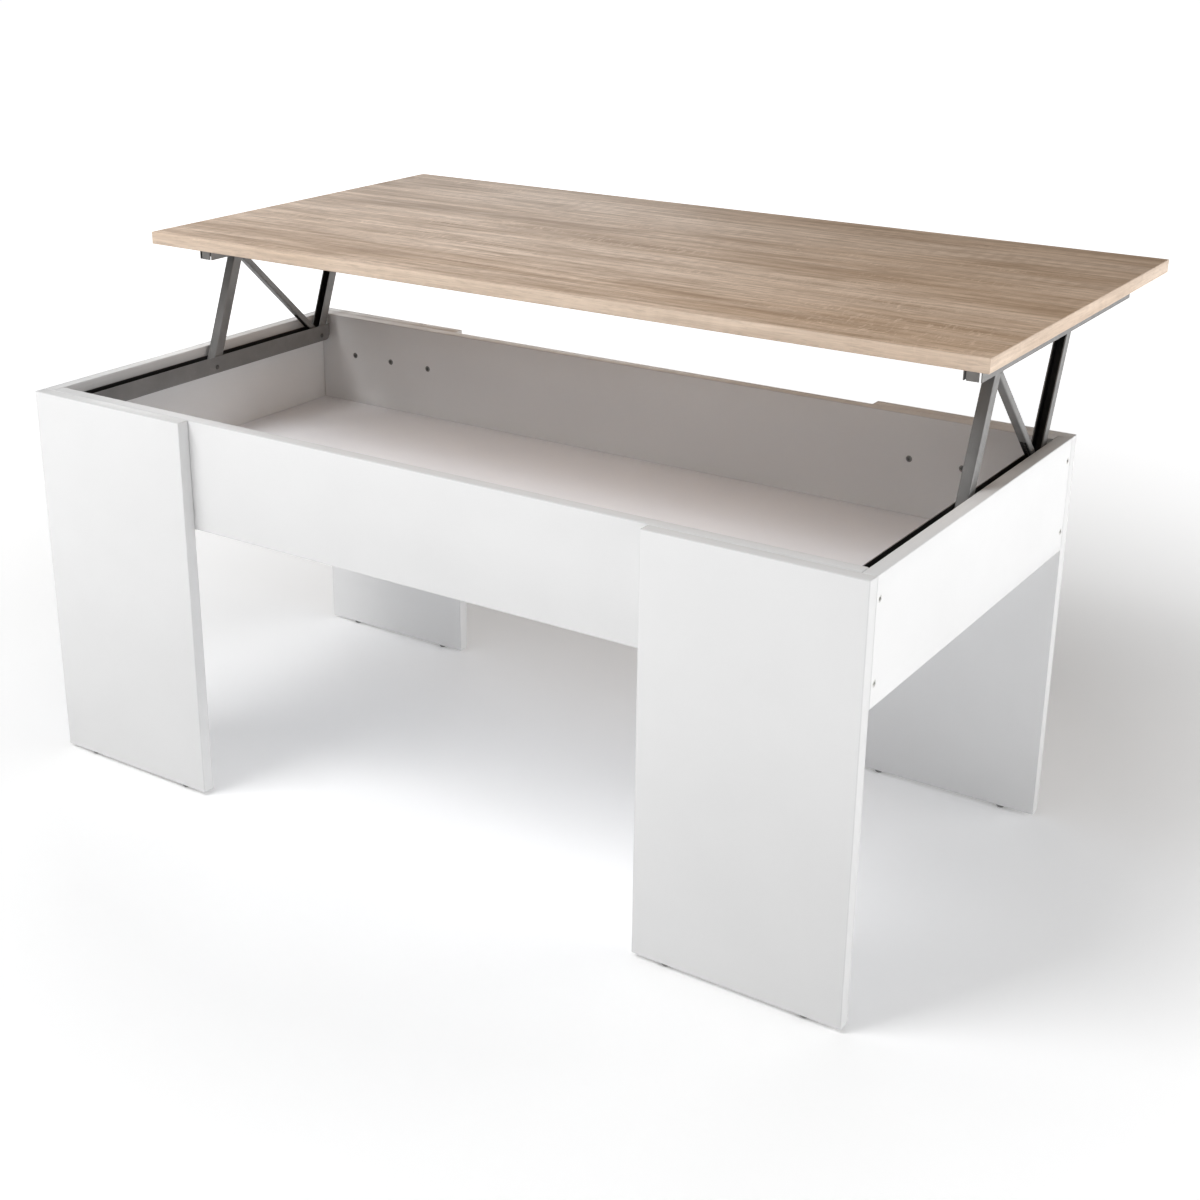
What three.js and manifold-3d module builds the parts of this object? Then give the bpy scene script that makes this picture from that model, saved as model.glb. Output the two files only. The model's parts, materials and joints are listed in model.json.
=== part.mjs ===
// Lift top coffee table: a white panel box on four panel legs, with a wooden top that rises and
// moves back on a sprung parallelogram mechanism at each end. Millimetres, +Z up, +X along the
// table, -Y towards its front. The table stands with its top lifted.
import * as THREE from "three";
import { mergeVertices } from "three/addons/utils/BufferGeometryUtils.js";
import Module from "manifold-3d";

const wasm = await Module();
wasm.setup();

// ---- Driving dimensions -------------------------------------------------------------------

const GAP = 0.2; // between two pieces that are fixed against each other
const RUNNING_GAP = 0.35; // round a pin, and beside a piece that moves

// Table top
const TOP_LENGTH = 1000;
const TOP_DEPTH = 500;

// Box and legs
const BOX_LENGTH = 980;
const BOX_DEPTH = 480;
const PANEL = 14;
const SIDE_HEIGHT = 119;
const LEG_WIDTH = 215;
const LEG_HEIGHT = 422;
const FLOOR_THICKNESS = 3;
const FLOOR_ABOVE_EDGE = 7;
const GROOVE_DEPTH = 6;

// Glides under the legs
const GLIDE_RADIUS = 5;
const GLIDE_HEIGHT = 4;
const GLIDE_NAIL_RADIUS = 1;
const GLIDE_NAIL_LENGTH = 12;
const GLIDE_X = [309, 452];

// Panel screws
const SCREW_HEAD_RADIUS = 3.5;
const SCREW_HEAD_LENGTH = 3;
const SCREW_SHANK_RADIUS = 2.3;
const SIDE_SCREW_LENGTH = 45;
const SIDE_SCREW_INSET = 22;
const LEG_SCREW_LENGTH = 25;
const LEG_SCREW_BELOW_RIM = 48;
const LEG_SCREW_X = { left: [-423, -366, -308], right: [326, 384.5, 443] };

// Lifting mechanism, in the plane across the table
const ARM_REACH = 152; // between an arm's two pivots
const LIFTED_ANGLE = THREE.MathUtils.degToRad(69); // of an arm, from the rear, top lifted
const CLOSED_ANGLE = THREE.MathUtils.degToRad(174); // of an arm, from the rear, top closed
const CLOSED_GAP = 0.5; // between the closed top and the rim
const FRONT_PIVOT_Y = 5;
const PIVOT_SPACING = 186;
const PIVOT_ABOVE_RAIL_FOOT = 7.55;
const STAY_PIN_BELOW_ARM_PIVOT = 12;

// Sheet metal channels
const RAIL_SHEET = 1;
const LOWER_RAIL_HEIGHT = 20;
const UPPER_RAIL_HEIGHT = 22.5;
const UPPER_RAIL_WIDTH = 18;
const UPPER_RAIL_SIDE_GAP = 0.8; // to the side panel, when the top is closed
const UPPER_RAIL_FRONT = 54; // ahead of the front arm's upper pivot
const UPPER_RAIL_LENGTH = 408;
const UPPER_RAIL_NOSE_HEIGHT = 10;
const UPPER_RAIL_TAB_WIDTH = 12;
const LOWER_RAIL_WIDTH = 14.8;
const LOWER_RAIL_BELOW_RIM = 10.5;
const LOWER_RAIL_FRONT = -210;
const LOWER_RAIL_REAR = 206;
const LOWER_RAIL_CORNER = 8;
const DIMPLE_RADIUS = 3.6;
const DIMPLE_ABOVE_RAIL_FOOT = 4;
const DIMPLE_Y = [-180, 24, 170];
const ARM_SHEET = 1.2;
const ARM_WIDTH = 12;
const ARM_DEPTH = 12.5;
const ARM_WEB_TOP_CUT = 15; // web cut away, from the upper pivot
const STAY_SHEET = 1;
const STAY_WIDTH = 8.8;
const STAY_DEPTH = 7;
const STAY_CHANNEL_LENGTH = 176;
const STAY_WEB_FOOT_CUT = 52;
const STAY_ROD_RADIUS = 1.2;
const STAY_ROD_FOOT = 14; // from the stay's pivot
const STAY_COLLAR_RADIUS = 2.2;
const STAY_COLLAR_LENGTH = 3;
const STAY_HEAD_WIDTH = 6;
const STAY_HEAD_DEPTH = 5;
const SPRING_COILS = 30;
const SPRING_RADIUS = 1.9;
const SPRING_WIRE_RADIUS = 0.35;

// Pivot pins
const PIN_RADIUS = 2;
const PIN_HEAD_RADIUS = 2.8;
const PIN_HEAD_LENGTH = 1.1;
const PIN_HEAD_CLEARANCE = 0.6;

// Roundness of small turned pieces and of bent corners
const ROUND_SEGMENTS = 20;
const SPRING_STEPS_PER_COIL = 8;
const SPRING_SIDES = 4;

// ---- Derived places -----------------------------------------------------------------------

const RIM_Z = GLIDE_HEIGHT + LEG_HEIGHT;
const SIDE_FOOT_Z = RIM_Z - SIDE_HEIGHT;
const FLOOR_Z = SIDE_FOOT_Z + FLOOR_ABOVE_EDGE;
const SIDE_INNER_X = BOX_LENGTH / 2 - PANEL;
const LEG_BACK_Y = BOX_DEPTH / 2 - PANEL;
const APRON_INNER_Y = LEG_BACK_Y - PANEL;

const TOP_RISE = ARM_REACH * (Math.sin(LIFTED_ANGLE) - Math.sin(CLOSED_ANGLE));
const TOP_THROW = ARM_REACH * (Math.cos(LIFTED_ANGLE) - Math.cos(CLOSED_ANGLE));
const TOP_UNDER_Z = RIM_Z + CLOSED_GAP + TOP_RISE;

const UPPER_RAIL_OUTER_X = SIDE_INNER_X - UPPER_RAIL_SIDE_GAP;
const CHANNEL_X = UPPER_RAIL_OUTER_X - UPPER_RAIL_WIDTH / 2; // middle plane of every channel
const LOWER_RAIL_TOP_Z = RIM_Z - LOWER_RAIL_BELOW_RIM;
const LOWER_RAIL_FOOT_Z = LOWER_RAIL_TOP_Z - LOWER_RAIL_HEIGHT;
const LOWER_PIVOT_Z = LOWER_RAIL_FOOT_Z + PIVOT_ABOVE_RAIL_FOOT;
const UPPER_PIVOT_Z = LOWER_PIVOT_Z + ARM_REACH * Math.sin(LIFTED_ANGLE);
const PIVOT_SHIFT_Y = ARM_REACH * Math.cos(LIFTED_ANGLE);
const REAR_PIVOT_Y = FRONT_PIVOT_Y + PIVOT_SPACING;
const UPPER_RAIL_FRONT_Y = FRONT_PIVOT_Y + PIVOT_SHIFT_Y - UPPER_RAIL_FRONT;

const STAY_PIN_REACH = ARM_REACH - STAY_PIN_BELOW_ARM_PIVOT;
const STAY_RUN = PIVOT_SPACING - STAY_PIN_REACH * Math.cos(LIFTED_ANGLE);
const STAY_CLIMB = STAY_PIN_REACH * Math.sin(LIFTED_ANGLE);
const STAY_LENGTH = Math.hypot(STAY_RUN, STAY_CLIMB);

// Turns about X that lay an upright piece along an arm or a stay
const ARM_TURN = LIFTED_ANGLE - Math.PI / 2;
const STAY_TURN = Math.atan2(STAY_RUN, STAY_CLIMB);

// The frame's origin is on the floor, under the middle of the lifted table's outer box.
const ORIGIN_Y = (TOP_THROW + TOP_DEPTH / 2 - BOX_DEPTH / 2) / 2;

// ---- Materials ----------------------------------------------------------------------------

function finish(color, roughness, metalness) {
  return () => new THREE.MeshStandardMaterial({ color, roughness, metalness });
}
const oak = finish(0xb9a38f, 0.55, 0);
const whitePanel = finish(0xf1f1ef, 0.5, 0);
const greyChannel = finish(0x6e6e6c, 0.45, 0.7);
const darkSteel = finish(0x3b3b3d, 0.4, 0.8);
const zincSteel = finish(0xb4b4b0, 0.35, 0.9);
const glidePlastic = finish(0x8b8b88, 0.6, 0);

// ---- Geometry helpers ---------------------------------------------------------------------

function solidOf(geometry) {
  const bare = geometry.clone();
  bare.deleteAttribute("normal");
  bare.deleteAttribute("uv");
  const merged = mergeVertices(bare, 1e-4);
  return new wasm.Manifold(
    new wasm.Mesh({
      numProp: 3,
      vertProperties: new Float32Array(merged.attributes.position.array),
      triVerts: new Uint32Array(merged.index.array),
    }),
  );
}

function geometryOf(solid) {
  const mesh = solid.getMesh();
  const geometry = new THREE.BufferGeometry();
  geometry.setAttribute("position", new THREE.BufferAttribute(mesh.vertProperties, 3));
  geometry.setIndex(new THREE.BufferAttribute(mesh.triVerts, 1));
  geometry.computeVertexNormals();
  return geometry;
}

// The first piece with the others joined to it, or cut from it.
function join(first, ...others) {
  return geometryOf(others.reduce((whole, piece) => whole.add(solidOf(piece)), solidOf(first)));
}

function cut(first, ...others) {
  return geometryOf(others.reduce((rest, piece) => rest.subtract(solidOf(piece)), solidOf(first)));
}

// A box between a low and a high corner.
function block(x0, x1, y0, y1, z0, z1) {
  const geometry = new THREE.BoxGeometry(x1 - x0, y1 - y0, z1 - z0);
  return geometry.translate((x0 + x1) / 2, (y0 + y1) / 2, (z0 + z1) / 2);
}

// A cylinder along X, from x0 to x1, about (y, z).
function barX(radius, x0, x1, y, z) {
  const geometry = new THREE.CylinderGeometry(radius, radius, x1 - x0, ROUND_SEGMENTS);
  return geometry.rotateZ(Math.PI / 2).translate((x0 + x1) / 2, y, z);
}

// A cylinder along Z, from z0 to z1, about (x, y).
function barZ(radius, z0, z1, x, y) {
  const geometry = new THREE.CylinderGeometry(radius, radius, z1 - z0, ROUND_SEGMENTS);
  return geometry.rotateX(Math.PI / 2).translate(x, y, (z0 + z1) / 2);
}

// A turned piece about Y, from [radius, height] points that run from the axis at its top down
// to the axis at its foot.
function turned(points) {
  return new THREE.LatheGeometry(
    points.toReversed().map(([radius, height]) => new THREE.Vector2(radius, height)),
    ROUND_SEGMENTS,
  );
}

// An outline of [y, z] points, extruded across x0 to x1.
function plateX(shape, x0, x1) {
  const geometry = new THREE.ExtrudeGeometry(shape, {
    depth: x1 - x0,
    bevelEnabled: false,
    curveSegments: ROUND_SEGMENTS / 2,
  });
  // The shape's x becomes Y, its y becomes Z, and its depth becomes X.
  return geometry.rotateX(Math.PI / 2).rotateZ(Math.PI / 2).translate(x0, 0, 0);
}

// The same piece on the left end of the table.
function mirrored(geometry) {
  const other = geometry.clone().scale(-1, 1, 1);
  const index = other.index;
  for (let i = 0; i < index.count; i += 3) {
    const second = index.getX(i + 1);
    index.setX(i + 1, index.getX(i + 2));
    index.setX(i + 2, second);
  }
  other.computeVertexNormals();
  return other;
}

// ---- Assembly helpers ---------------------------------------------------------------------

const table = new THREE.Group();
table.position.y = -ORIGIN_Y;

function place(name, geometry, material, y = 0, z = 0, turn = 0) {
  const mesh = new THREE.Mesh(geometry, material());
  mesh.name = name;
  mesh.position.set(0, y, z);
  mesh.rotation.x = turn;
  table.add(mesh);
}

// One copy at each end of the table, from the piece at the right end.
function placeAtEnds(name, geometry, material, y, z, turn) {
  place(`${name}_right`, geometry, material, y, z, turn);
  place(`${name}_left`, mirrored(geometry), material, y, z, turn);
}

// ---- Panel screws -------------------------------------------------------------------------

// A countersunk screw along +Y, with the face of its head at y = 0. A positive margin makes
// the hole that it sits in.
function panelScrew(length, margin = 0) {
  const head = SCREW_HEAD_RADIUS + margin;
  const shank = SCREW_SHANK_RADIUS + margin;
  const face = -margin;
  const tip = length + margin;
  return turned([
    [0, tip],
    [shank, tip - 2],
    [shank, SCREW_HEAD_LENGTH + margin],
    [head, 1],
    [head, face],
    [0, face],
  ]);
}

// Side screws run inwards along X, from the side panels into the aprons' ends.
function sideScrew(side, front, high, margin) {
  const y = front * (LEG_BACK_Y - PANEL / 2);
  const z = high ? RIM_Z - SIDE_SCREW_INSET : SIDE_FOOT_Z + SIDE_SCREW_INSET;
  const geometry = panelScrew(SIDE_SCREW_LENGTH, margin);
  return geometry.rotateZ((side * Math.PI) / 2).translate((side * BOX_LENGTH) / 2, y, z);
}

// Leg screws run along Y, from an apron's inner face into the leg behind it.
function legScrew(x, margin) {
  return panelScrew(LEG_SCREW_LENGTH, margin).translate(x, APRON_INNER_Y, RIM_Z - LEG_SCREW_BELOW_RIM);
}

// ---- Box ----------------------------------------------------------------------------------

function floorGroove(margin) {
  const x = SIDE_INNER_X + GROOVE_DEPTH;
  const y = APRON_INNER_Y + GROOVE_DEPTH;
  return block(
    -x + margin,
    x - margin,
    -y + margin,
    y - margin,
    FLOOR_Z + margin,
    FLOOR_Z + FLOOR_THICKNESS - margin,
  );
}

function sidePanel(side) {
  const inner = side * SIDE_INNER_X;
  const outer = (side * BOX_LENGTH) / 2;
  const length = LEG_BACK_Y - GAP;
  const panel = block(
    Math.min(inner, outer),
    Math.max(inner, outer),
    -length,
    length,
    SIDE_FOOT_Z,
    RIM_Z,
  );
  const holes = [-1, 1].flatMap((front) => [true, false].map((high) => sideScrew(side, front, high, GAP)));
  return cut(panel, floorGroove(0), ...holes);
}

function apron(front) {
  const inner = front * APRON_INNER_Y;
  const outer = front * (LEG_BACK_Y - GAP);
  const panel = block(
    -SIDE_INNER_X + GAP,
    SIDE_INNER_X - GAP,
    Math.min(inner, outer),
    Math.max(inner, outer),
    SIDE_FOOT_Z,
    RIM_Z,
  );
  const holes = [-1, 1].flatMap((side) => [true, false].map((high) => sideScrew(side, front, high, GAP)));
  const legHoles = front > 0 ? Object.values(LEG_SCREW_X).flat().map((x) => legScrew(x, GAP)) : [];
  return cut(panel, floorGroove(0), ...holes, ...legHoles);
}

// ---- Legs and glides ----------------------------------------------------------------------

function glide(margin = 0) {
  const nail = GLIDE_NAIL_RADIUS + margin;
  const tip = GLIDE_HEIGHT + GLIDE_NAIL_LENGTH + margin;
  const points = [
    [0, tip],
    [nail, tip - 2],
    [nail, GLIDE_HEIGHT - GAP],
    [GLIDE_RADIUS - 0.5, GLIDE_HEIGHT - GAP],
    [GLIDE_RADIUS, GLIDE_HEIGHT - 1.2],
    [GLIDE_RADIUS - 1.5, 0],
    [0, 0],
  ];
  return turned(points).rotateX(Math.PI / 2);
}

function leg(front, side) {
  const outerX = (side * BOX_LENGTH) / 2;
  const innerX = outerX - side * LEG_WIDTH;
  const outerY = (front * BOX_DEPTH) / 2;
  const innerY = front * LEG_BACK_Y;
  const panel = block(
    Math.min(innerX, outerX),
    Math.max(innerX, outerX),
    Math.min(innerY, outerY),
    Math.max(innerY, outerY),
    GLIDE_HEIGHT,
    RIM_Z,
  );
  const nails = GLIDE_X.map((x) => glide(GAP).translate(side * x, front * (LEG_BACK_Y + PANEL / 2), 0));
  const screwX = side < 0 ? LEG_SCREW_X.left : LEG_SCREW_X.right;
  const screwHoles = front > 0 ? screwX.map((x) => legScrew(x, GAP)) : [];
  return cut(panel, ...nails, ...screwHoles);
}

// ---- Rails --------------------------------------------------------------------------------

function pinHoles(ys, z) {
  const radius = PIN_RADIUS + RUNNING_GAP;
  return ys.map((y) => barX(radius, CHANNEL_X - UPPER_RAIL_WIDTH, CHANNEL_X + UPPER_RAIL_WIDTH, y, z));
}

// A channel open at the top, with its rear foot rounded, held off the side panel by dimples
// so that the upper rail can close over it.
function lowerRail() {
  const half = LOWER_RAIL_WIDTH / 2;
  const side = new THREE.Shape();
  side.moveTo(LOWER_RAIL_FRONT, LOWER_RAIL_FOOT_Z);
  side.lineTo(LOWER_RAIL_REAR - LOWER_RAIL_CORNER, LOWER_RAIL_FOOT_Z);
  side.absarc(
    LOWER_RAIL_REAR - LOWER_RAIL_CORNER,
    LOWER_RAIL_FOOT_Z + LOWER_RAIL_CORNER,
    LOWER_RAIL_CORNER,
    -Math.PI / 2,
    0,
    false,
  );
  side.lineTo(LOWER_RAIL_REAR, LOWER_RAIL_TOP_Z);
  side.lineTo(LOWER_RAIL_FRONT, LOWER_RAIL_TOP_Z);
  const inside = block(
    CHANNEL_X - half + RAIL_SHEET,
    CHANNEL_X + half - RAIL_SHEET,
    LOWER_RAIL_FRONT - 1,
    LOWER_RAIL_REAR + 1,
    LOWER_RAIL_FOOT_Z + RAIL_SHEET,
    LOWER_RAIL_TOP_Z + 1,
  );
  const channel = cut(
    plateX(side, CHANNEL_X - half, CHANNEL_X + half),
    inside,
    ...pinHoles([FRONT_PIVOT_Y, REAR_PIVOT_Y], LOWER_PIVOT_Z),
  );
  const outerFace = CHANNEL_X + half;
  const dimples = DIMPLE_Y.map((y) =>
    barX(
      DIMPLE_RADIUS,
      outerFace - RAIL_SHEET / 2,
      SIDE_INNER_X - GAP,
      y,
      LOWER_RAIL_FOOT_Z + DIMPLE_ABOVE_RAIL_FOOT,
    ),
  );
  return join(channel, ...dimples);
}

// A channel open at the foot. A nose folded down from its web closes its front end. Its lower
// part is a tab, narrow enough to drop between the lower rail's walls. Two notches in the inner
// wall's foot clear the heads of the lower pins when the top is closed.
function upperRail() {
  const half = UPPER_RAIL_WIDTH / 2;
  const tabHalf = UPPER_RAIL_TAB_WIDTH / 2;
  const top = TOP_UNDER_Z - GAP;
  const rear = UPPER_RAIL_FRONT_Y + UPPER_RAIL_LENGTH;
  const frontPivot = FRONT_PIVOT_Y + PIVOT_SHIFT_Y;
  const channel = cut(
    block(CHANNEL_X - half, CHANNEL_X + half, UPPER_RAIL_FRONT_Y, rear, top - UPPER_RAIL_HEIGHT, top),
    block(
      CHANNEL_X - half + RAIL_SHEET,
      CHANNEL_X + half - RAIL_SHEET,
      UPPER_RAIL_FRONT_Y - 1,
      rear + 1,
      top - UPPER_RAIL_HEIGHT - 1,
      top - RAIL_SHEET,
    ),
    ...pinHoles([frontPivot, frontPivot + PIVOT_SPACING], UPPER_PIVOT_Z),
    ...[0, PIVOT_SPACING].map((y) =>
      barX(
        PIN_HEAD_RADIUS + PIN_HEAD_CLEARANCE,
        CHANNEL_X - half - 1,
        CHANNEL_X - half + RAIL_SHEET + 0.1,
        FRONT_PIVOT_Y + TOP_THROW + y,
        LOWER_PIVOT_Z + TOP_RISE,
      ),
    ),
  );
  const nose = block(
    CHANNEL_X - half + RAIL_SHEET / 2,
    CHANNEL_X + half - RAIL_SHEET / 2,
    UPPER_RAIL_FRONT_Y,
    UPPER_RAIL_FRONT_Y + RAIL_SHEET,
    top - UPPER_RAIL_NOSE_HEIGHT,
    top - RAIL_SHEET / 2,
  );
  const tab = block(
    CHANNEL_X - tabHalf,
    CHANNEL_X + tabHalf,
    UPPER_RAIL_FRONT_Y,
    UPPER_RAIL_FRONT_Y + RAIL_SHEET,
    top - UPPER_RAIL_HEIGHT,
    top - RAIL_SHEET / 2,
  );
  return join(channel, nose, tab);
}

// ---- Arms, upright with the lower pivot at the origin -------------------------------------

// A side outline with round ends, about an axis that runs up from the origin.
function roundedBar(depth, length) {
  const radius = depth / 2;
  const outline = new THREE.Shape();
  outline.absarc(0, 0, radius, Math.PI, 2 * Math.PI, false);
  outline.absarc(0, length, radius, 0, Math.PI, false);
  outline.closePath();
  return outline;
}

// webSide is -1 for a web at the front and 1 for a web at the rear. The web goes down to the
// foot and stops short of the upper pivot.
function arm(webSide, extraHoles) {
  const half = ARM_WIDTH / 2;
  const insideHalf = half - ARM_SHEET;
  const webInner = webSide * (ARM_DEPTH / 2 - ARM_SHEET);
  const openEdge = -webSide * ARM_DEPTH;
  const webOuter = webSide * ARM_DEPTH;
  const inside = block(
    CHANNEL_X - insideHalf,
    CHANNEL_X + insideHalf,
    Math.min(webInner, openEdge),
    Math.max(webInner, openEdge),
    -ARM_DEPTH,
    ARM_REACH + ARM_DEPTH,
  );
  const topCut = block(
    CHANNEL_X - insideHalf,
    CHANNEL_X + insideHalf,
    Math.min(0, webOuter),
    Math.max(0, webOuter),
    ARM_REACH - ARM_WEB_TOP_CUT,
    ARM_REACH + ARM_DEPTH,
  );
  const holes = [0, ARM_REACH, ...extraHoles].flatMap((z) => pinHoles([0], z));
  return cut(
    plateX(roundedBar(ARM_DEPTH, ARM_REACH), CHANNEL_X - half, CHANNEL_X + half),
    inside,
    topCut,
    ...holes,
  );
}

// ---- Spring stay, upright with its lower pivot at the origin ------------------------------

// The stay's channel: its web is at the front, cut away at the foot into a fork, and its top
// end is folded across as a seat for the spring.
function stayChannel() {
  const half = STAY_WIDTH / 2;
  const insideHalf = half - STAY_SHEET;
  const outline = new THREE.Shape();
  outline.absarc(0, 0, STAY_DEPTH / 2, Math.PI, 2 * Math.PI, false);
  outline.lineTo(STAY_DEPTH / 2, STAY_CHANNEL_LENGTH);
  outline.lineTo(-STAY_DEPTH / 2, STAY_CHANNEL_LENGTH);
  outline.closePath();
  const inside = block(
    CHANNEL_X - insideHalf,
    CHANNEL_X + insideHalf,
    -STAY_DEPTH / 2 + STAY_SHEET,
    STAY_DEPTH,
    -STAY_DEPTH,
    STAY_CHANNEL_LENGTH - STAY_SHEET,
  );
  const fork = block(
    CHANNEL_X - insideHalf,
    CHANNEL_X + insideHalf,
    -STAY_DEPTH,
    0,
    -STAY_DEPTH,
    STAY_WEB_FOOT_CUT,
  );
  const rodHole = barZ(
    STAY_ROD_RADIUS + RUNNING_GAP,
    STAY_CHANNEL_LENGTH - 2 * STAY_SHEET,
    STAY_CHANNEL_LENGTH + 1,
    CHANNEL_X,
    0,
  );
  return cut(
    plateX(outline, CHANNEL_X - half, CHANNEL_X + half),
    inside,
    fork,
    rodHole,
    ...pinHoles([0], 0),
  );
}

// The rod: a collar at its foot that the spring pushes on, and a flat head at its top with a
// round seat that meets the pin in the front arm.
function stayRod() {
  const headFoot = STAY_CHANNEL_LENGTH + 2 * RUNNING_GAP;
  const head = block(
    CHANNEL_X - STAY_HEAD_WIDTH / 2,
    CHANNEL_X + STAY_HEAD_WIDTH / 2,
    -STAY_HEAD_DEPTH / 2,
    STAY_HEAD_DEPTH / 2,
    headFoot,
    STAY_LENGTH,
  );
  const seat = barX(
    PIN_RADIUS + 2 * RUNNING_GAP,
    CHANNEL_X - STAY_WIDTH,
    CHANNEL_X + STAY_WIDTH,
    0,
    STAY_LENGTH,
  );
  const shaft = turned([
    [0, headFoot + 1],
    [STAY_ROD_RADIUS, headFoot + 1],
    [STAY_ROD_RADIUS, STAY_ROD_FOOT + STAY_COLLAR_LENGTH],
    [STAY_COLLAR_RADIUS, STAY_ROD_FOOT + STAY_COLLAR_LENGTH],
    [STAY_COLLAR_RADIUS, STAY_ROD_FOOT],
    [0, STAY_ROD_FOOT],
  ]);
  return join(cut(head, seat), shaft.rotateX(Math.PI / 2).translate(CHANNEL_X, 0, 0));
}

// The compression spring round the rod, from the collar to the folded end of the channel.
class Helix extends THREE.Curve {
  constructor(radius, coils, foot, top) {
    super();
    Object.assign(this, { radius, coils, foot, top });
  }

  getPoint(t, target = new THREE.Vector3()) {
    const angle = 2 * Math.PI * this.coils * t;
    return target.set(
      this.radius * Math.cos(angle),
      this.radius * Math.sin(angle),
      THREE.MathUtils.lerp(this.foot, this.top, t),
    );
  }
}

function staySpring() {
  const end = GAP + SPRING_WIRE_RADIUS;
  const foot = STAY_ROD_FOOT + STAY_COLLAR_LENGTH + end;
  const top = STAY_CHANNEL_LENGTH - STAY_SHEET - end;
  const wire = new THREE.Shape();
  for (let i = 0; i < SPRING_SIDES; i += 1) {
    const angle = (2 * Math.PI * i) / SPRING_SIDES;
    const point = [SPRING_WIRE_RADIUS * Math.cos(angle), SPRING_WIRE_RADIUS * Math.sin(angle)];
    if (i === 0) wire.moveTo(...point);
    else wire.lineTo(...point);
  }
  const geometry = new THREE.ExtrudeGeometry(wire, {
    steps: SPRING_COILS * SPRING_STEPS_PER_COIL,
    extrudePath: new Helix(SPRING_RADIUS, SPRING_COILS, foot, top),
    bevelEnabled: false,
  });
  return geometryOf(solidOf(geometry.translate(CHANNEL_X, 0, 0)));
}

// ---- Pivot pins ---------------------------------------------------------------------------

// A pin along X with a head at its end towards the middle of the table.
function headedPin(innerX, outerX) {
  const length = outerX - innerX;
  const geometry = turned([
    [0, length],
    [PIN_RADIUS, length],
    [PIN_RADIUS, 0],
    [PIN_HEAD_RADIUS, 0],
    [PIN_HEAD_RADIUS - 0.5, -PIN_HEAD_LENGTH],
    [0, -PIN_HEAD_LENGTH],
  ]);
  return geometry.rotateZ(-Math.PI / 2).translate(innerX, 0, 0);
}

function railPin(width) {
  return headedPin(CHANNEL_X - width / 2 - GAP, CHANNEL_X + width / 2 - GAP);
}

// ---- The table ----------------------------------------------------------------------------

const topHalfDepth = TOP_DEPTH / 2;
place(
  "table_top",
  block(
    -TOP_LENGTH / 2,
    TOP_LENGTH / 2,
    TOP_THROW - topHalfDepth,
    TOP_THROW + topHalfDepth,
    TOP_UNDER_Z,
    TOP_UNDER_Z + PANEL,
  ),
  oak,
);

const ENDS = { left: -1, right: 1 };
const FACES = { front: -1, rear: 1 };

for (const [end, side] of Object.entries(ENDS)) place(`side_panel_${end}`, sidePanel(side), whitePanel);
for (const [face, front] of Object.entries(FACES)) place(`apron_${face}`, apron(front), whitePanel);
place("floor_panel", floorGroove(GAP), whitePanel);

for (const [face, front] of Object.entries(FACES)) {
  for (const [end, side] of Object.entries(ENDS)) {
    place(`leg_${face}_${end}`, leg(front, side), whitePanel);
    GLIDE_X.forEach((x, i) => {
      const foot = glide().translate(side * x, front * (LEG_BACK_Y + PANEL / 2), 0);
      place(`glide_${face}_${end}_${i + 1}`, foot, glidePlastic);
    });
    for (const [level, high] of Object.entries({ upper: true, lower: false }))
      place(`side_screw_${face}_${end}_${level}`, sideScrew(side, front, high), zincSteel);
  }
}
for (const [end, xs] of Object.entries(LEG_SCREW_X))
  xs.forEach((x, i) => place(`leg_screw_rear_${end}_${i + 1}`, legScrew(x), zincSteel));

placeAtEnds("lower_rail", lowerRail(), greyChannel);
placeAtEnds("upper_rail", upperRail(), greyChannel);

const pivots = { front: FRONT_PIVOT_Y, rear: REAR_PIVOT_Y };
for (const [face, y] of Object.entries(pivots)) {
  const armGeometry = arm(FACES[face], face === "front" ? [STAY_PIN_REACH] : []);
  placeAtEnds(`${face}_arm`, armGeometry, greyChannel, y, LOWER_PIVOT_Z, ARM_TURN);
  placeAtEnds(`${face}_foot_pin`, railPin(LOWER_RAIL_WIDTH), darkSteel, y, LOWER_PIVOT_Z);
  placeAtEnds(
    `${face}_head_pin`,
    railPin(UPPER_RAIL_WIDTH),
    darkSteel,
    y + PIVOT_SHIFT_Y,
    UPPER_PIVOT_Z,
  );
}

const stayPinHalf = ARM_WIDTH / 2 - GAP / 2;
placeAtEnds(
  "stay_pin",
  barX(PIN_RADIUS, CHANNEL_X - stayPinHalf, CHANNEL_X + stayPinHalf, 0, 0),
  darkSteel,
  FRONT_PIVOT_Y + STAY_PIN_REACH * Math.cos(LIFTED_ANGLE),
  LOWER_PIVOT_Z + STAY_CLIMB,
);
placeAtEnds("stay_channel", stayChannel(), greyChannel, REAR_PIVOT_Y, LOWER_PIVOT_Z, STAY_TURN);
placeAtEnds("stay_rod", stayRod(), darkSteel, REAR_PIVOT_Y, LOWER_PIVOT_Z, STAY_TURN);
placeAtEnds("stay_spring", staySpring(), darkSteel, REAR_PIVOT_Y, LOWER_PIVOT_Z, STAY_TURN);

export default table;
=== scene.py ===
"""Looks of the lift top coffee table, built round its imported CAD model. Metres, +Z up."""
import json
import math

import bmesh
import bpy
from mathutils import Matrix, Vector


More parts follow.
